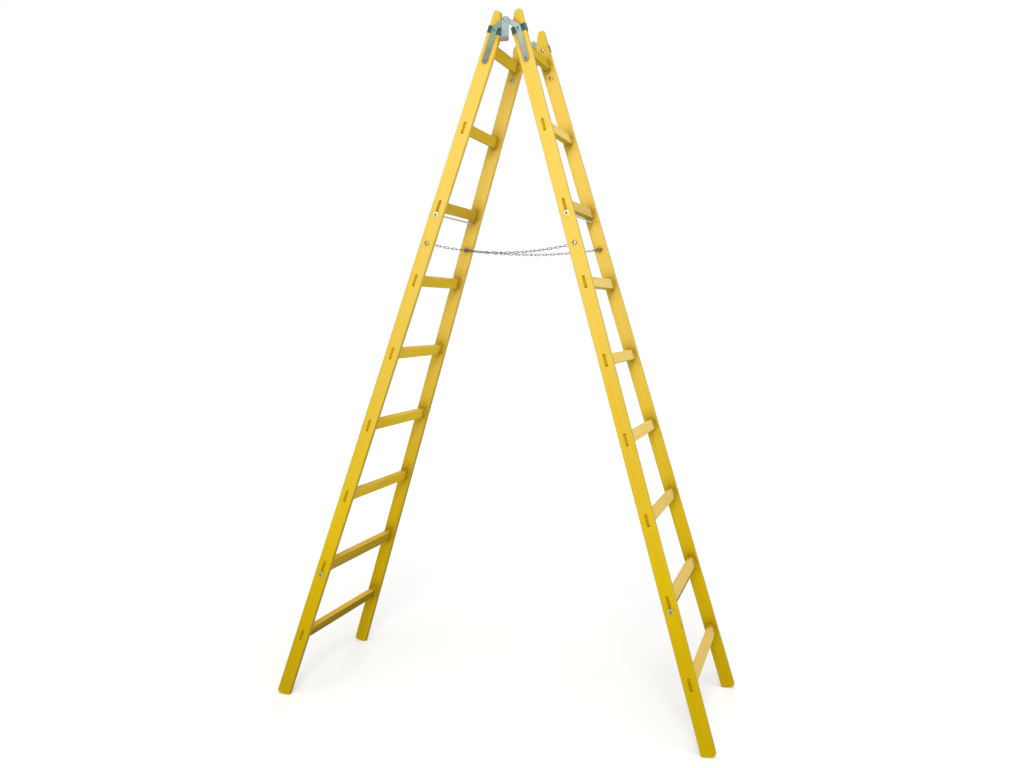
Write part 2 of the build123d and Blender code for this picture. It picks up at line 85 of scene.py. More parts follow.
# Grain of the wood: a stretch is a pair of scales, across the grain and along it
RUNG_TURN = (pi / 2, 0.0, 0.0)  # lays the grain along a rung
PITH_DISTANCE = 0.045        # from a piece's middle to the centre of its growth rings
PITH_TURN = 137.5            # degrees by which that centre turns from piece to piece
RING_STRETCH = (1.0, 0.04)
RING_PATTERN = {"Scale": 85.0, "Distortion": 4.0, "Detail": 2.0, "Detail Scale": 0.5}
FIBRE_STRETCH = (300.0, 3.0)
CLOUD_STRETCH = (14.0, 1.6)
GRAIN_WEIGHTS = (0.26, 0.36, 0.66)   # of rings, fibres and clouds
GRAIN_RANGE = (0.40, 0.95)           # of their sum, from the pale tone to the dark one
STREAK_STRETCH = (65.0, 1.3)
STREAK_RANGE = (0.56, 0.74)
STREAK_SHARE = 0.35
KNOT_STRETCH = (14.0, 4.5)
KNOT_EDGE = (0.10, 0.045)            # distances from the middle of a knot's cell
KNOT_CHOICE = (0.82, 0.86)           # few of the cells have a knot
KNOT_SHARE = 0.7
SMEAR_STRETCH = (30.0, 6.0)
SMEAR_RANGE = (0.3, 0.75)
WOOD_ROUGHNESS = (0.36, 0.52)
PORE_STRETCH = (1500.0, 45.0)
RELIEF_WEIGHTS = (0.5, 0.2)          # of pores and rings
RELIEF = (0.14, 0.0006)              # strength and distance of the bumps
SOFT_DETAIL = 2.0                    # of the softer noises

# Colours of the wood: pairs are the pale and the dark tone. A slope is the upward share of a face's normal.
# Slopes, heights and reaches run from where a colour sets in to where it has its full share.
STILE_TONES = (0.655, 0.456, 0.001, 1.0), (0.562, 0.362, 0.001, 1.0)
RUNG_TONES = (0.730, 0.510, 0.022, 1.0), (0.580, 0.385, 0.008, 1.0)
# Treads: upper faces pale from wear and painted light; the right half's paler treads are painted light
WORN_AND_LIT_TREADS = {
    "left": ((0.860, 0.570, 0.080, 1.0), (0.760, 0.480, 0.045, 1.0)),
    "right": ((0.980, 0.725, 0.230, 1.0), (0.900, 0.645, 0.140, 1.0)),
}
TREAD_SLOPES = (-0.10, 0.15)
TREAD_HEIGHTS = (2.33, 2.15)         # no one steps on the top rung
# Painted shade: treads darker low down on the ladder
LOW_TREAD_SHADE = (0.600, 0.360, 0.030, 1.0)
LOW_TREAD_SHADE_HEIGHTS = (1.1, 0.8)
LOW_TREAD_SHADE_SHARE = 0.30
# Painted shade on faces that look down, and on faces towards the inside, stronger low down
UNDERSIDE_SHADE = (0.200, 0.130, 0.001, 1.0)
UNDERSIDE_SHADE_SLOPES = (-0.45, -0.90)
UNDERSIDE_SHADE_SHARE = 0.60
INNER_SLOPES = (-0.10, -0.25)        # faces towards the inside of the ladder look a little down
INNER_RUNG_HEIGHTS = (0.93, 0.22)
INNER_RUNG_SHARE = 0.90
INNER_STILE_HEIGHTS = (2.3, 0.4)
INNER_STILE_SHARES = (0.15, 0.60)
# Painted shade: stiles darker towards the foot
FOOT_SHADE = (0.300, 0.205, 0.001, 1.0)
FOOT_SHADE_HEIGHTS = (0.65, 0.0)
FOOT_SHADE_SHARE = 0.36
# Painted light: the wood turns paler and whiter towards the top
TOP_LIGHT = (0.800, 0.552, 0.126, 1.0)
TOP_LIGHT_HEIGHTS = (0.4, 2.0)
STILE_TOP_LIGHT = 0.75
RUNG_TOP_LIGHT = 0.10
TIP_GOLD = (0.600, 0.430, 0.020, 1.0)
TIP_HEIGHTS = (2.42, 2.52)
TIP_SHARE = 0.45
STREAK = (0.720, 0.380, 0.006, 1.0)
KNOT = (0.250, 0.110, 0.010, 1.0)
END_GRAIN = (0.520, 0.310, 0.008, 1.0), (0.430, 0.245, 0.006, 1.0)
END_FACING = (0.75, 0.95)            # share of a face's direction that runs along the grain
STILE_END_SHARE = 0.25
RUNG_END_SHARE = 1.0
LOW_END = (0.360, 0.200, 0.002, 1.0)
LOW_END_HEIGHTS = (1.3, 0.2)
# Painted shade where a rung meets the stiles, in blotches
RUNG_END_SHADE = (0.310, 0.175, 0.001, 1.0)
RUNG_END_SHADE_REACHES = (0.067, 0.024)  # from a rung's ends
RUNG_END_SHADE_CLOUDS = (0.35, 0.65)
RUNG_END_SHADE_SHARES = (0.45, 0.95)   # at least and at most, by how blotchy it is
BROWNED = (0.260, 0.120, 0.020, 1.0)
BROWNED_SHARES = {"left": 0.45, "right": 0.20}
BROWNED_SPREAD = (0.6, 1.4)          # of a share, from pale to dark grain
BROWNED_RUNG = "3"                   # the rung of each half that is browner than the others
# Painted shade in corners, by how open they are
CORNER_SHADE = (0.300, 0.170, 0.001, 1.0)
CORNER_SHADE_REACH = 0.060
CORNER_SHADE_SAMPLES = 4
CORNER_SHADE_OPENNESS = (0.96, 0.55)        # of a corner
CORNER_SHADE_HEIGHTS = (0.02, 0.12)         # clear of the floor
CORNER_SHADE_SHARE = 0.95
# Painted light deep inside the slots, lightening their shade
SLOT_LIGHT = (0.960, 0.780, 0.050, 1.0)
SLOT_OPENNESS = (0.50, 0.35)
STILE_GLOSS = 0.10
RUNG_GLOSS = 0.01
GLOSS_TINT = (1.000, 0.820, 0.300, 1.0)

# Pattern of the metal
SPANGLE_SCALE = 260.0
CLOUD_SCALE = 55.0
METAL_WEIGHTS = (0.88, 0.12)         # of clouds and spangles
METAL_RANGE = (0.25, 0.75)           # of their sum, from dull to bright
GRIT_SCALE = 900.0
GRIT = (0.10, 0.0002)                # strength and distance of the bumps
RAGGED_SCALE = 130.0
RAGGED_DETAIL = 4.0
RAGGED_HEIGHT = 0.006                # by which the edge of a tint wanders

# Metals: pairs are the bright and the dull tone. A polish is the roughness of each and how metallic both are.
# Heights, rises and reaches run from where a tint sets in to where it has its full share.
MATT_POLISH = (0.48, 0.62, 0.6)
ZINC = (0.398, 0.500, 0.521, 1.0), (0.290, 0.374, 0.393, 1.0)
CURL_BROWN = (0.260, 0.225, 0.215, 1.0)
CURL_RISES = (0.021, 0.014)          # above a hook's lowest point
CURL_SHARE = 1.0
CURL_ROUGHNESS = 0.6
# Painted reflection: the left bracket's zinc darker and tealer than the right's, and each side's arms tinted
# towards the hinge
BRACKET_TONES = {
    "left": ((0.258, 0.288, 0.250, 1.0), (0.186, 0.214, 0.186, 1.0)),
    "right": ((0.362, 0.398, 0.365, 1.0), (0.260, 0.292, 0.268, 1.0)),
}
ARM_TONES = {"left": (0.245, 0.400, 0.325, 1.0), "right": (0.470, 0.540, 0.530, 1.0)}
ARM_RISES = (0.045, 0.100)           # above a bracket's lowest point
ARM_SHARE = 0.60
ARM_ROUGHNESS = 0.2
BAND_ZINC = (0.090, 0.195, 0.155, 1.0), (0.033, 0.090, 0.070, 1.0)
BAND_POLISH = (0.30, 0.45, 0.8)
ROD_TONES = {
    "upper": ((0.600, 0.600, 0.600, 1.0), (0.440, 0.440, 0.450, 1.0)),
    "lower": ((0.680, 0.490, 0.120, 1.0), (0.560, 0.390, 0.070, 1.0)),
}
ROD_POLISH = (0.30, 0.45, 0.3)
ROD_END = (0.075, 0.085, 0.070, 1.0)
ROD_END_REACHES = (0.014, 0.012)     # from a tie rod's end
BRONZE = (0.660, 0.520, 0.380, 1.0), (0.340, 0.230, 0.140, 1.0)
BRONZE_POLISH = (0.22, 0.36, 1.0)
BOLT_END = (0.300, 0.380, 0.360, 1.0)
BOLT_END_REACHES = (0.022, 0.018)    # from a bracket bolt's outer end
OLIVE_ZINC = (0.620, 0.610, 0.470, 1.0), (0.330, 0.320, 0.210, 1.0)
OLIVE_POLISH = (0.20, 0.34, 1.0)
CREAM_ZINC = (0.880, 0.770, 0.420, 1.0), (0.780, 0.670, 0.340, 1.0)
WASHER_POLISH = (0.22, 0.36, 0.15)
TIE_NUT_POLISH = (0.24, 0.42, 0.15)
LOW_CREAM = (0.440, 0.375, 0.110, 1.0)
LOW_CREAM_HEIGHTS = (1.4, 0.9)
LOW_CREAM_SHARE = 0.9
LOW_CREAM_ROUGHNESS = 0.4
PALE_ZINC = (0.520, 0.620, 0.590, 1.0), (0.300, 0.380, 0.360, 1.0)
DARK_ZINC = (0.260, 0.310, 0.300, 1.0), (0.110, 0.150, 0.140, 1.0)
NUT_POLISH = (0.24, 0.42, 1.0)
CHAIN_ZINC = (0.200, 0.200, 0.200, 1.0), (0.075, 0.075, 0.075, 1.0)
CHAIN_POLISH = (0.30, 0.50, 1.0)

# New pieces
MERGE_DISTANCE = 1e-6
LINK_TURNS = 7               # steps in each half-round end of a link
LINK_RUN_STEPS = 4           # steps in each straight side of a link
LINK_SIDES = 10              # steps round the wire
LINK_WELD = 0.14             # swelling of the wire at its weld, as a share of its radius
LINK_WELD_LENGTH = 0.0011
LINK_PLAY = 0.0001
NUT_STEPS = 48               # round a nut
NUT_FACE = 0.95              # radius of a nut's flat end, as a share of half its width
NUT_BEVEL = 30.0             # degrees
NUT_MOUTH = 0.0005           # bevel at the ends of the thread
NUT_SMOOTH = 20.0            # degrees up to which a nut's edge is shaded smooth
SAME_DIRECTION = 0.999       # cosine above which two faces of a nut count as parallel

# Stage
FLOOR_REACH = 40.0
FLOOR_SIDES = 96
FLOOR_PAINT = (0.88, 0.88, 0.87, 1.0)
FLOOR_GLOSS = 0.1
FLOOR_CLOUD_SCALE = 0.8
FLOOR_CLOUDS = (0.3, 0.7)
FLOOR_ROUGHNESS = (0.55, 0.65)
FLOOR_FADE = (1.6, 5.0)      # distances between which the floor turns as white as the sky
FLOOR_GLOW = (0.23, 0.52)
SKY_LIGHT = 0.36
SKY_SHOWN = 1.0
LIGHTS = (                   # name, kind, place, target, power and other settings
    ("sun", "SUN", (1.8, -3.0, 6.0), (0.0, 0.0, 0.0), 1.15, {"angle": radians(60)}),
    ("key", "AREA", (1.0, -4.1, 3.9), (0.0, -0.1, 1.5), 99.0, {"shape": "DISK", "size": 1.6}),
    ("fill", "AREA", (-0.8, 3.4, 3.2), (0.0, 0.1, 1.5), 30.0, {"shape": "DISK", "size": 2.2}),
)


# Node trees
def add(tree, kind, inputs=None, **settings):
    """A new node: settings are its properties, and inputs are values or the sockets that feed it."""
    made = tree.nodes.new(kind)
    for name, value in settings.items():
        setattr(made, name, value)
    for name, value in (inputs or {}).items():
        if isinstance(value, bpy.types.NodeSocket):
            tree.links.new(value, made.inputs[name])
        else:
            made.inputs[name].default_value = value
    return made


def maths(tree, operation, a, b=0.0):
    """One arithmetic step between two numbers or sockets."""
    return add(tree, "ShaderNodeMath", {0: a, 1: b}, operation=operation).outputs[0]


def times(tree, a, b):
    """The product of two numbers or sockets."""
    return maths(tree, "MULTIPLY", a, b)


def weighted(tree, *terms):
    """The sum of sockets, each times its weight."""
    total = 0.0
    for socket, weight in terms:
        total = maths(tree, "ADD", times(tree, socket, weight), total)
    return total


def ramp(tree, value, low, high, to_low=0.0, to_high=1.0):
    """A smooth step of a value from one range to another."""
    inputs = {"Value": value, "From Min": low, "From Max": high, "To Min": to_low, "To Max": to_high}
    made = add(tree, "ShaderNodeMapRange", inputs, interpolation_type="SMOOTHSTEP")
    return made.outputs["Result"]


def mix(tree, share, a, b):
    """Two colours, mixed by a share."""
    return add(tree, "ShaderNodeMix", {0: share, 6: a, 7: b}, data_type="RGBA").outputs[2]


def noise(tree, place, scale=1.0, detail=3.0):
    """Soft noise at a place."""
    inputs = {"Vector": place, "Scale": scale, "Detail": detail}
    return add(tree, "ShaderNodeTexNoise", inputs).outputs["Fac"]


def cells(tree, place, scale=1.0):
    """A pattern of cells: the distance to the nearest middle, and a colour for each cell."""
    return add(tree, "ShaderNodeTexVoronoi", {"Vector": place, "Scale": scale}, feature="F1").outputs


def part_of(tree, vector, axis):
    """A vector's part along one axis."""
    return add(tree, "ShaderNodeSeparateXYZ", {"Vector": vector}).outputs[axis]


def channel_of(tree, colour, channel):
    """One channel of a colour."""
    return add(tree, "ShaderNodeSeparateColor", {"Color": colour}).outputs[channel]


def mapped(tree, vector, **inputs):
    """A vector, moved, turned or scaled."""
    return add(tree, "ShaderNodeMapping", {"Vector": vector, **inputs}).outputs["Vector"]


def bump(tree, height, strength, distance):
    """The surface's direction over small bumps of a height."""
    inputs = {"Height": height, "Strength": strength, "Distance": distance}
    return add(tree, "ShaderNodeBump", inputs).outputs["Normal"]


def new_material(name):
    """A new material, its tree, its shader's inputs, and its coordinates on the piece."""
    material = bpy.data.materials.new(name)
    material.use_nodes = True
    tree = material.node_tree
    place = tree.nodes.new("ShaderNodeTexCoord").outputs
    return material, tree, tree.nodes["Principled BSDF"].inputs, place


def paint(node, material):
    """Gives a node of the frame a material."""
    mesh = frame["nodes"][node].data
    mesh.materials.clear()
    mesh.materials.append(material)


# Wood
class WoodLook(NamedTuple):
    """What sets the wood of one piece apart: treads are for rungs alone."""
    tones: tuple
    top_light_share: float
    end_share: float
    gloss: float
    tread_tones: tuple = ()
    browned_share: float = 0.0


def pith(node, turn, index):
    """Where the growth rings of a piece are centred, in coordinates turned along its grain."""
    points = np.array([vert.co for vert in frame["nodes"][node].data.vertices])
    turned = points @ np.array(Euler(turn).to_matrix()).T
    angle = radians(PITH_TURN * index)
    middle = (turned.min(0) + turned.max(0)) / 2
    return middle + PITH_DISTANCE * np.array((cos(angle), sin(angle), 0.0))


def worn_lit_and_shaded(tree, height, up, colour, tread):
    """A rung's colour: that of a tread on its upper faces, pale from wear and painted light, and painted
    shade on its lower and its inner ones.
    """
    stepped_on_and_lit = times(tree, ramp(tree, up, *TREAD_SLOPES), ramp(tree, height, *TREAD_HEIGHTS))
    # painted shade: treads darker low down
    tread = mix(tree, ramp(tree, height, *LOW_TREAD_SHADE_HEIGHTS, 0.0, LOW_TREAD_SHADE_SHARE), tread, LOW_TREAD_SHADE)
    colour = mix(tree, stepped_on_and_lit, colour, tread)
    # painted shade on inner faces low down and on undersides
    low = ramp(tree, height, *INNER_RUNG_HEIGHTS, 0.0, INNER_RUNG_SHARE)
    inner = times(tree, ramp(tree, up, *INNER_SLOPES), low)
    under = ramp(tree, up, *UNDERSIDE_SHADE_SLOPES, 0.0, UNDERSIDE_SHADE_SHARE)
    return mix(tree, maths(tree, "MAXIMUM", inner, under), colour, UNDERSIDE_SHADE)


def shaded_at_ends(tree, place, clouds, colour, end):
    """A rung's colour, with painted shade in blotches towards its two ends, where it meets the stiles."""
    away = maths(tree, "ABSOLUTE", part_of(tree, place, "Y"))
    near = ramp(tree, away, *(end - reach for reach in RUNG_END_SHADE_REACHES))
    blotches = ramp(tree, clouds, *RUNG_END_SHADE_CLOUDS, *RUNG_END_SHADE_SHARES)
    return mix(tree, times(tree, near, blotches), colour, RUNG_END_SHADE)


def shaded_stile(tree, height, up, colour):
    """A stile's colour: painted shade towards its foot, and on its narrow face towards the inside."""
    colour = mix(tree, ramp(tree, height, *FOOT_SHADE_HEIGHTS, 0.0, FOOT_SHADE_SHARE), colour, FOOT_SHADE)
    low = ramp(tree, height, *INNER_STILE_HEIGHTS, *INNER_STILE_SHARES)
    return mix(tree, times(tree, ramp(tree, up, *INNER_SLOPES), low), colour, UNDERSIDE_SHADE)


def knotted(tree, place, colour):
    """A colour with knots in a few cells of a pattern."""
    spots = cells(tree, place)
    chosen = ramp(tree, channel_of(tree, spots["Color"], "Red"), *KNOT_CHOICE, 0.0, KNOT_SHARE)
    knot = times(tree, ramp(tree, spots["Distance"], *KNOT_EDGE), chosen)
    return mix(tree, knot, colour, KNOT)


def corner_shaded(tree, height, colour):
    """A colour with painted shade in corners, and with painted light deep inside the slots that pales their
    shade.
    """
    nearby = {"Distance": CORNER_SHADE_REACH}
    openness = add(tree, "ShaderNodeAmbientOcclusion", nearby, samples=CORNER_SHADE_SAMPLES).outputs["AO"]
    corner_colour = mix(tree, ramp(tree, openness, *SLOT_OPENNESS), CORNER_SHADE, SLOT_LIGHT)
    raised = ramp(tree, height, *CORNER_SHADE_HEIGHTS, 0.0, CORNER_SHADE_SHARE)
    return mix(tree, times(tree, ramp(tree, openness, *CORNER_SHADE_OPENNESS), raised), colour, corner_colour)


def wood(node, turn, index, look):
    """Satin varnished softwood for one piece, its grain along the Z of the turned coordinates."""
    material, tree, shader, place = new_material(f"{node}_wood")
    centre = tuple(-value for value in pith(node, turn, index))
    board = mapped(tree, place["Object"], Rotation=turn, Location=centre)

    def stretched(across, along):
        return mapped(tree, board, Scale=(across, across, along))

    height = part_of(tree, place["Object"], "Z")
    up = part_of(tree, place["Normal"], "Z")
    rings = add(
        tree, "ShaderNodeTexWave", {"Vector": stretched(*RING_STRETCH), **RING_PATTERN},
        wave_type="RINGS", rings_direction="Z", wave_profile="SAW",
    ).outputs["Fac"]
    fibres = noise(tree, stretched(*FIBRE_STRETCH))
    clouds = noise(tree, stretched(*CLOUD_STRETCH), detail=SOFT_DETAIL)
    tone = ramp(tree, weighted(tree, *zip((rings, fibres, clouds), GRAIN_WEIGHTS)), *GRAIN_RANGE)
    colour = mix(tree, tone, *look.tones)
    # painted light towards the top
    colour = mix(tree, ramp(tree, height, *TOP_LIGHT_HEIGHTS, 0.0, look.top_light_share), colour, TOP_LIGHT)
    colour = mix(tree, ramp(tree, height, *TIP_HEIGHTS, 0.0, TIP_SHARE), colour, TIP_GOLD)
    if look.tread_tones:
        # wear and painted light on the upper faces, painted shade on the lower and inner ones
        colour = worn_lit_and_shaded(tree, height, up, colour, mix(tree, tone, *look.tread_tones))
        # painted shade at the rung's ends
        colour = shaded_at_ends(tree, place["Object"], clouds, colour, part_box(node)[1].y)
    else:
        # painted shade towards the foot and on the inner narrow face
        colour = shaded_stile(tree, height, up, colour)
    streaks = noise(tree, stretched(*STREAK_STRETCH), detail=SOFT_DETAIL)
    colour = mix(tree, ramp(tree, streaks, *STREAK_RANGE, 0.0, STREAK_SHARE), colour, STREAK)
    colour = knotted(tree, stretched(*KNOT_STRETCH), colour)
    facing = part_of(tree, mapped(tree, place["Normal"], Rotation=turn), "Z")
    end = ramp(tree, maths(tree, "ABSOLUTE", facing), *END_FACING, 0.0, look.end_share)
    end_colour = mix(tree, ramp(tree, height, *LOW_END_HEIGHTS), mix(tree, rings, *END_GRAIN), LOW_END)
    colour = mix(tree, end, colour, end_colour)
    if look.browned_share:
        shares = (look.browned_share * spread for spread in BROWNED_SPREAD)
        colour = mix(tree, ramp(tree, tone, 0.0, 1.0, *shares), colour, BROWNED)
    # painted shade in corners, painted light deep in the slots
    tree.links.new(corner_shaded(tree, height, colour), shader["Base Color"])
    smears = noise(tree, stretched(*SMEAR_STRETCH))
    tree.links.new(ramp(tree, smears, *SMEAR_RANGE, *WOOD_ROUGHNESS), shader["Roughness"])
    shader["Specular IOR Level"].default_value = look.gloss
    shader["Specular Tint"].default_value = GLOSS_TINT
    pores = noise(tree, stretched(*PORE_STRETCH), detail=SOFT_DETAIL)
    relief = weighted(tree, *zip((pores, rings), RELIEF_WEIGHTS))
    tree.links.new(bump(tree, relief, *RELIEF), shader["Normal"])
    return material


def dress_wood():
    """Each stile's grain follows its lean and its splay, and each rung's grain follows the rung."""
    stile_look = WoodLook(STILE_TONES, STILE_TOP_LIGHT, STILE_END_SHARE, STILE_GLOSS)
    rung_look = WoodLook(RUNG_TONES, RUNG_TOP_LIGHT, RUNG_END_SHARE, RUNG_GLOSS)
    for index, node in enumerate(sorted(frame["nodes"])):
        kind, side, place = (node.split("_") + ["", ""])[:3]
        if kind == "stile":
            splay = SPLAY if place == "front" else -SPLAY
            lean = -LEAN if side == "left" else LEAN
            turn = (radians(splay), radians(lean), 0.0)
            paint(node, wood(node, turn, index, stile_look))
        elif kind == "rung":
            browned = BROWNED_SHARES[side] if place == BROWNED_RUNG else 0.0
            look = rung_look._replace(tread_tones=WORN_AND_LIT_TREADS[side], browned_share=browned)
            paint(node, wood(node, RUNG_TURN, index, look))


# Metal
def metal(name, tones, bright_roughness, dull_roughness, metallic):
    """Zinc-plated steel: small spangles, clouds of dullness and a faint grit."""
    bright, dull = tones
    material, tree, shader, place = new_material(name)
    clouds = noise(tree, place["Object"], CLOUD_SCALE)
    spangles = channel_of(tree, cells(tree, place["Object"], SPANGLE_SCALE)["Color"], "Green")
    tone = weighted(tree, *zip((clouds, spangles), METAL_WEIGHTS))
    tree.links.new(mix(tree, ramp(tree, tone, *METAL_RANGE), dull, bright), shader["Base Color"])
    tree.links.new(ramp(tree, tone, *METAL_RANGE, dull_roughness, bright_roughness), shader["Roughness"])
    shader["Metallic"].default_value = metallic
    grit = noise(tree, place["Object"], GRIT_SCALE, SOFT_DETAIL)
    tree.links.new(bump(tree, grit, *GRIT), shader["Normal"])
    return material


def tint(tree, share, colour):
    """Mixes a colour over that of a finished metal."""
    surface = tree.nodes["Principled BSDF"].inputs["Base Color"]
    tree.links.new(mix(tree, share, surface.links[0].from_socket, colour), surface)


def tint_by_height(material, colour, start, full, share, least_roughness):
    """Turns a metal towards another colour between two heights, along a ragged line."""
    tree = material.node_tree
    where = add(tree, "ShaderNodeTexCoord").outputs["Object"]
    ragged = noise(tree, where, RAGGED_SCALE, RAGGED_DETAIL)
    level = weighted(tree, (part_of(tree, where, "Z"), 1.0), (ragged, RAGGED_HEIGHT))
    tinted = ramp(tree, level, start, full, 0.0, share)
    tint(tree, tinted, colour)
    roughness = tree.nodes["Principled BSDF"].inputs["Roughness"]
    plain = roughness.links[0].from_socket
    rougher = times(tree, tinted, least_roughness)
    tree.links.new(maths(tree, "MAXIMUM", plain, rougher), roughness)
    return material


def tint_outside(material, colour, start, full):
    """Turns a metal into another colour between two distances from the ladder's middle plane."""
    tree = material.node_tree
    side = part_of(tree, add(tree, "ShaderNodeTexCoord").outputs["Object"], "Y")
    tint(tree, ramp(tree, maths(tree, "ABSOLUTE", side), start, full), colour)
    return material


def cream_zinc(name, polish):
    """Warm white zinc for what the tie rods hold, dull low down on the ladder."""
    finish = metal(name, CREAM_ZINC, *polish)
    return tint_by_height(finish, LOW_CREAM, *LOW_CREAM_HEIGHTS, LOW_CREAM_SHARE, LOW_CREAM_ROUGHNESS)


def dress_metal():
    """Finishes for the fittings that keep their own solids, by the start of a node's name.

    Hooks, pins, bushes and brackets are matt zinc, with brown curls and tinted arms. Bands are teal, washers
    cream and chain bolts olive. Tie rods have dark ends, and bronze bracket bolts have zinc outer ends.
    """
    zinc = metal("zinc", ZINC, *MATT_POLISH)
    hook = metal("hook_zinc", ZINC, *MATT_POLISH)
    hook_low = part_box("hook_front")[0].z
    tint_by_height(hook, CURL_BROWN, *(hook_low + rise for rise in CURL_RISES), CURL_SHARE, CURL_ROUGHNESS)
    bronze = metal("bronze_passivated_zinc", BRONZE, *BRONZE_POLISH)
    bolt_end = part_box("bracket_bolts_left")[1].y
    tint_outside(bronze, BOLT_END, *(bolt_end - reach for reach in BOLT_END_REACHES))
    finishes = {
        "hook": hook,
        "hinge_pin": zinc,
        "hinge_bushes": zinc,
        "hinge_band": metal("band_zinc", BAND_ZINC, *BAND_POLISH),
        "tie_washers": cream_zinc("white_zinc", WASHER_POLISH),
        "chain_bolts": metal("olive_zinc", OLIVE_ZINC, *OLIVE_POLISH),
        "bracket_bolts": bronze,
    }
    for side in SIDES:
        # painted reflection, different on each side, on the bracket's zinc and its arms
        bracket = metal(f"bracket_zinc_{side}", BRACKET_TONES[side], *MATT_POLISH)
        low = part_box(f"hinge_bracket_{side}_front")[0].z
        rises = (low + rise for rise in ARM_RISES)
        tint_by_height(bracket, ARM_TONES[side], *rises, ARM_SHARE, ARM_ROUGHNESS)
        finishes[f"hinge_bracket_{side}"] = bracket
    for level, tones in ROD_TONES.items():
        rod = metal(f"rod_zinc_{level}", tones, *ROD_POLISH)
        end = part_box(f"tie_rod_left_{level}")[1].y
        tint_outside(rod, ROD_END, *(end - reach for reach in ROD_END_REACHES))
        finishes.update({f"tie_rod_{side}_{level}": rod for side in SIDES})
    for node in frame["nodes"]:
        for start, finish in finishes.items():
            if node.startswith(start):
                paint(node, finish)


# New pieces
def solids(node):
    """Each separate solid of a node: its corner points, and its faces' directions and areas."""
    mesh = bmesh.new()
    mesh.from_mesh(frame["nodes"][node].data)
    bmesh.ops.remove_doubles(mesh, verts=mesh.verts, dist=MERGE_DISTANCE)
    waiting = set(mesh.verts)
    found = []
    for start in list(mesh.verts):
        if start not in waiting:
            continue
        waiting.discard(start)
        group, edge = [start], [start]
        while edge:
            for link in edge.pop().link_edges:
                for other in waiting.intersection(link.verts):
                    waiting.discard(other)
                    group.append(other)
                    edge.append(other)
        faces = list(dict.fromkeys(face for vert in group for face in vert.link_faces))
        points = np.array([vert.co for vert in group])
        normals = np.array([face.normal for face in faces])
        found.append((points, normals, np.array([face.calc_area() for face in faces])))
    mesh.free()
    return found


def skin(mesh, rings):
    """Faces between rings of points, each ring joined to the next and the last to the first."""
    made = [[mesh.verts.new(point) for point in ring] for ring in rings]
    for first, second in zip(made, made[1:] + made[:1]):
        for here in range(len(first)):
            after = (here + 1) % len(first)
            mesh.faces.new((first[here], first[after], second[after], second[here]))


def new_piece(name, mesh, material, smooth_angle=pi):
    """An object from a finished mesh, shaded smooth except over sharp edges."""
    bmesh.ops.recalc_face_normals(mesh, faces=mesh.faces)
    for face in mesh.faces:
        face.smooth = True
    for edge in mesh.edges:
        edge.smooth = len(edge.link_faces) == 2 and edge.calc_face_angle() < smooth_angle
    data = bpy.data.meshes.new(name)
    mesh.to_mesh(data)
    mesh.free()
    data.materials.append(material)
    piece = bpy.data.objects.new(name, data)
    bpy.context.scene.collection.objects.link(piece)
    return piece


def stand_for(piece, node):
    """Puts a piece on the body of the node that it replaces."""
    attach(piece, frame["nodes"][node]["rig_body"])
    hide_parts(node)


# Chains
def axes_of(points):
    """A solid's centre, its axes from its longest to its shortest reach, and its size along each."""
    _, axes = np.linalg.eigh(np.cov(points.T))
    axes = axes[:, ::-1].T
    reach = points @ axes.T
    return (reach.max(0) + reach.min(0)) / 2 @ axes, axes, reach.max(0) - reach.min(0)


def link_rings(middle, axes, size):
    """Rings of points round the wire of a smooth link with a centre, axes and a size along each."""
    wire = size[2] / 2
    bend = size[1] / 2 - wire
    straight = size[0] / 2 - wire - bend
    line = []
    for end in (1, -1):
        for step in range(LINK_TURNS + 1):
            angle = pi * step / LINK_TURNS - pi / 2
            spoke = end * np.array((cos(angle), sin(angle)))
            line.append((spoke * bend + np.array((end * straight, 0.0)), spoke))
        for step in range(1, LINK_RUN_STEPS):
            run = end * straight * (1 - 2 * step / LINK_RUN_STEPS)
            line.append((np.array((run, end * bend)), np.array((0.0, end))))
    rings = []
    for point, spoke in line:
        weld = LINK_WELD * exp(-((point[0] / LINK_WELD_LENGTH) ** 2)) if point[1] > 0 else 0.0
        radius = wire * (1 + weld) / (1 + LINK_WELD)
        ring = []
        for side in range(LINK_SIDES):
            angle = 2 * pi * side / LINK_SIDES
            flat = point + spoke * radius * cos(angle)
            ring.append(middle + axes[0] * flat[0] + axes[1] * flat[1] + axes[2] * radius * sin(angle))
        rings.append(ring)
    return rings


def joining_link(end):
    """The upright link that joins the middle links of a chain's two halves while the ladder is open."""
    bars = []
    for side in SIDES:
        links = [axes_of(points) for points, _, _ in solids(f"chain_{end}_{side}_lower")]
        middle, axes, size = min(links, key=lambda link: abs(link[0][0]))
        ahead = -axes[0] * np.sign(axes[0][0] * middle[0])
        inside = size[0] / 2 - 1.5 * size[2] - LINK_PLAY  # past its own bar, to the middle of the other's
        bars.append(middle + ahead * inside)
    run = bars[1] - bars[0]
    length = np.linalg.norm(run)
    along = run / length
    up = np.array((0.0, 0.0, 1.0)) - along * along[2]
    up /= np.linalg.norm(up)
    axes = np.array((along, up, np.cross(along, up)))
    return link_rings((bars[0] + bars[1]) / 2, axes, np.array((length + size[2], size[1], size[2])))


def dress_chains():
    """Smooth welded links in the places of the plain ones, and the two links that join the halves."""
    steel = metal("chain_zinc", CHAIN_ZINC, *CHAIN_POLISH)
    for node in list(frame["nodes"]):
        if node.startswith(("chain_front", "chain_back")):
            mesh = bmesh.new()
            for points, _, _ in solids(node):
                skin(mesh, link_rings(*axes_of(points)))
            if node.endswith("left_lower"):
                skin(mesh, joining_link(node.split("_")[1]))
            stand_for(new_piece(f"{node}_links", mesh, steel), node)


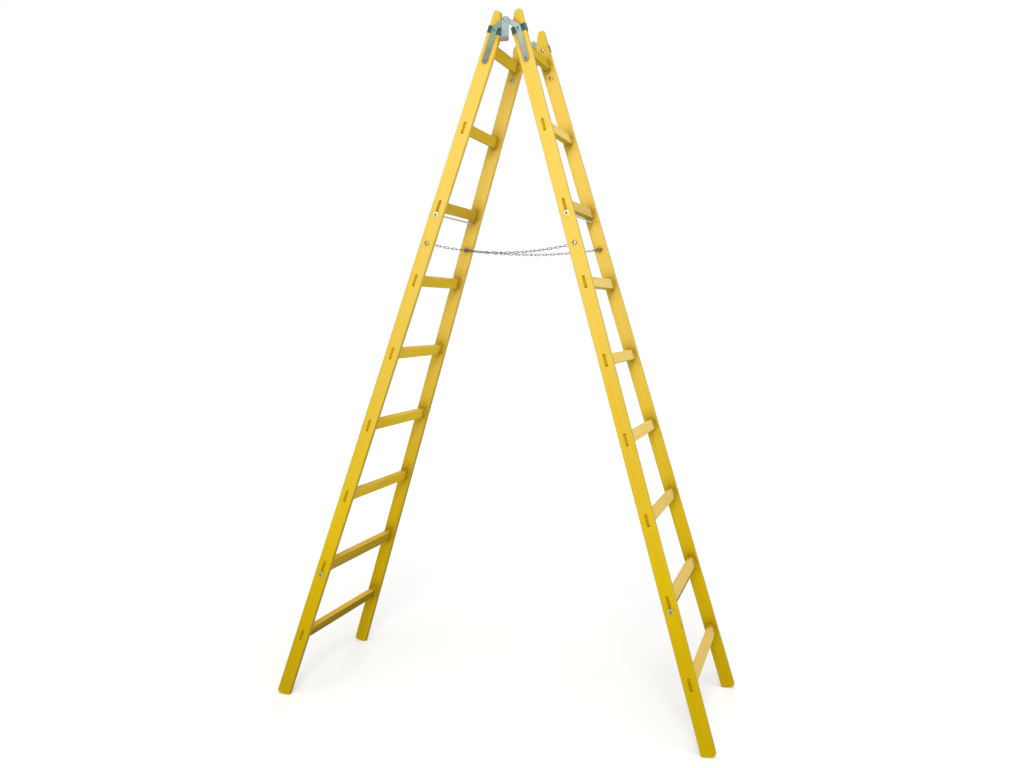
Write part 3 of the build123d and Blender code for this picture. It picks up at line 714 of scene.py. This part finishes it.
# Nuts
def nut_rings(points, normals, areas):
    """Rings of points round a hexagon nut with bevelled corners, from mouth to mouth of its thread."""
    alike = np.abs(normals @ normals.T) > SAME_DIRECTION
    axis = normals[np.argmax(alike @ areas)]
    along = points @ axis
    middle = (points.min(0) + points.max(0)) / 2
    flat = (points - middle) - np.outer((points - middle) @ axis, axis)
    reach = np.linalg.norm(flat, axis=1)
    corner = flat[np.argmax(reach)] / reach.max()
    other = np.cross(axis, corner)
    half_width = reach.max() * cos(pi / 6)
    hole = reach.min()
    half = (along.max() - along.min()) / 2
    angles = [2 * pi * step / NUT_STEPS for step in range(NUT_STEPS)]
    spokes = [corner * cos(angle) + other * sin(angle) for angle in angles]
    rows = []
    for end in (1, -1):
        throat = [middle + spoke * hole + axis * end * (half - NUT_MOUTH) for spoke in spokes]
        mouth = [middle + spoke * (hole + NUT_MOUTH) + axis * end * half for spoke in spokes]
        face = [middle + spoke * NUT_FACE * half_width + axis * end * half for spoke in spokes]
        outer = []
        for angle, spoke in zip(angles, spokes):
            radius = half_width / cos(angle % (pi / 3) - pi / 6)
            drop = max(0.0, radius - NUT_FACE * half_width) * tan(radians(NUT_BEVEL))
            outer.append(middle + spoke * radius + axis * end * (half - drop))
        rows.append([throat, mouth, face, outer])
    return rows[0] + rows[1][::-1]


def dress_nuts():
    """Bevelled nuts in the places of the plain ones, each kind with its own zinc."""
    finishes = {
        "bracket": metal("nut_zinc", PALE_ZINC, *NUT_POLISH),
        "chain": metal("dark_zinc", DARK_ZINC, *NUT_POLISH),
        "tie": cream_zinc("tie_nut_zinc", TIE_NUT_POLISH),
    }
    for node in list(frame["nodes"]):
        if "_nuts_" in node:
            mesh = bmesh.new()
            for solid in solids(node):
                skin(mesh, nut_rings(*solid))
            finish = finishes[node.split("_")[0]]
            piece = new_piece(f"{node}_bevelled", mesh, finish, radians(NUT_SMOOTH))
            stand_for(piece, node)


# Stage
def floor():
    """A wide pale floor that turns as white as the sky far from the ladder."""
    mesh = bmesh.new()
    bmesh.ops.create_circle(mesh, cap_ends=True, radius=FLOOR_REACH, segments=FLOOR_SIDES)
    material, tree, shader, place = new_material("floor_paint")
    shader["Base Color"].default_value = FLOOR_PAINT
    shader["Specular IOR Level"].default_value = FLOOR_GLOSS
    shader["Emission Color"].default_value = WHITE
    clouds = noise(tree, place["Object"], FLOOR_CLOUD_SCALE, SOFT_DETAIL)
    tree.links.new(ramp(tree, clouds, *FLOOR_CLOUDS, *FLOOR_ROUGHNESS), shader["Roughness"])
    away = add(tree, "ShaderNodeVectorMath", {0: place["Object"]}, operation="LENGTH").outputs["Value"]
    tree.links.new(ramp(tree, away, *FLOOR_FADE, *FLOOR_GLOW), shader["Emission Strength"])
    new_piece("floor", mesh, material)


def sky():
    """Even white light all round, shown brighter than it shines."""
    world = bpy.data.worlds.new("studio")
    bpy.context.scene.world = world
    world.use_nodes = True
    tree = world.node_tree
    background = tree.nodes["Background"].inputs
    background["Color"].default_value = WHITE
    shown = add(tree, "ShaderNodeLightPath").outputs["Is Camera Ray"]
    tree.links.new(ramp(tree, shown, 0.0, 1.0, SKY_LIGHT, SKY_SHOWN), background["Strength"])


def light(name, kind, place, target, power, settings):
    """A lamp at a place, turned to a target."""
    data = bpy.data.lights.new(name, kind)
    data.energy = power
    for setting, value in settings.items():
        setattr(data, setting, value)
    lamp = bpy.data.objects.new(name, data)
    lamp.location = place
    lamp.rotation_euler = (Vector(target) - Vector(place)).to_track_quat("-Z", "Y").to_euler()
    bpy.context.scene.collection.objects.link(lamp)


def camera():
    """The camera, turned by its yaw, its pitch and its roll."""
    yaw, pitch, roll = radians(CAMERA_YAW), radians(CAMERA_PITCH), radians(CAMERA_ROLL)
    ahead = Vector((sin(yaw) * cos(pitch), cos(yaw) * cos(pitch), sin(pitch)))
    level = Vector((cos(yaw), -sin(yaw), 0.0))
    above = level.cross(ahead)
    right = level * cos(roll) + above * sin(roll)
    up = above * cos(roll) - level * sin(roll)
    data = bpy.data.cameras.new("camera")
    data.lens = CAMERA_LENS
    data.sensor_width = SENSOR_WIDTH
    data.clip_end = CAMERA_FAR
    view = bpy.data.objects.new("camera", data)
    turned = Matrix((right, up, -ahead)).transposed().to_4x4()
    view.matrix_world = Matrix.Translation(CAMERA_PLACE) @ turned
    bpy.context.scene.collection.objects.link(view)
    bpy.context.scene.camera = view


def stage():
    """Floor, sky, lamps and camera."""
    floor()
    sky()
    for lamp in LIGHTS:
        light(*lamp)
    bpy.context.scene.view_settings.view_transform = "Standard"
    camera()


dress_wood()
dress_metal()
dress_nuts()
dress_chains()
stage()
